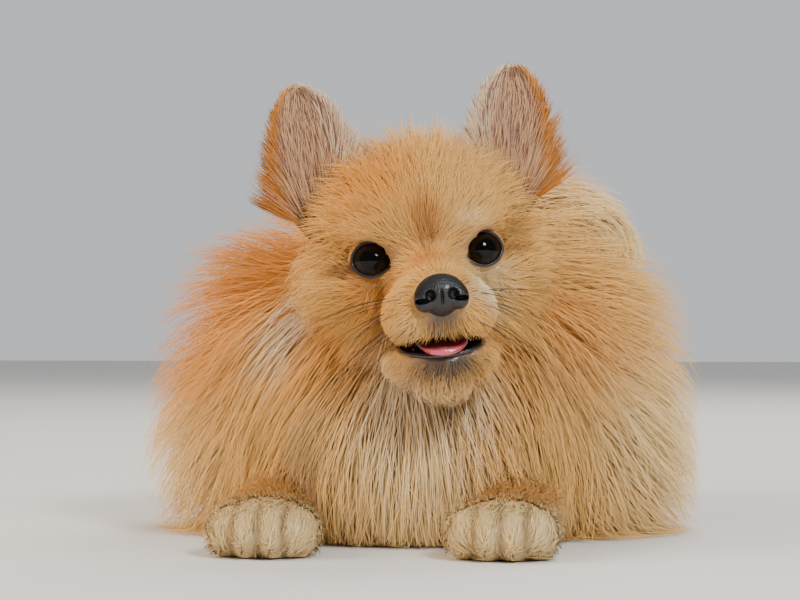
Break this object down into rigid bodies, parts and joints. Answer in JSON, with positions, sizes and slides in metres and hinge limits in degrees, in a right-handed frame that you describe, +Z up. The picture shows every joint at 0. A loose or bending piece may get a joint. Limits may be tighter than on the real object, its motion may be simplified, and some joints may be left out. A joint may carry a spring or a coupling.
{
  "type": "pomeranian dog lying down, still model",
  "caption": "Life-size young pomeranian lying on its brisket, head up, mouth open, forelegs forward, with a long ruff and a plumed tail over its back.",
  "frame": {"origin": "on the floor under the brisket, on the flat that the trunk rests on", "axes": "the dog faces -Y, +X is the dog's left side, +Z is up"},
  "size_m": [0.2052, 0.3148, 0.1772],
  "materials": {
    "orange_coat": "soft long hair, golden orange",
    "cream_coat": "soft long hair, cream",
    "ear_coat": "short dense hair, rust orange with a cream edge",
    "nose_leather": "satin, fine pebbled grain",
    "eye_gloss": "wet gloss, very dark brown",
    "tongue_flesh": "moist satin, pink"
  },
  "bodies": {
    "root": {"head": "orange_coat", "lower_jaw": "cream_coat", "tongue": "tongue_flesh", "nose": "nose_leather", "eye_left": "eye_gloss", "eye_right": "eye_gloss", "ear_left": "ear_coat", "ear_right": "ear_coat", "neck": "cream_coat", "torso": "orange_coat", "tail": "orange_coat", "foreleg_left": "cream_coat", "foreleg_right": "cream_coat", "hindleg_left": "orange_coat", "hindleg_right": "orange_coat"}
  },
  "joints": []
}
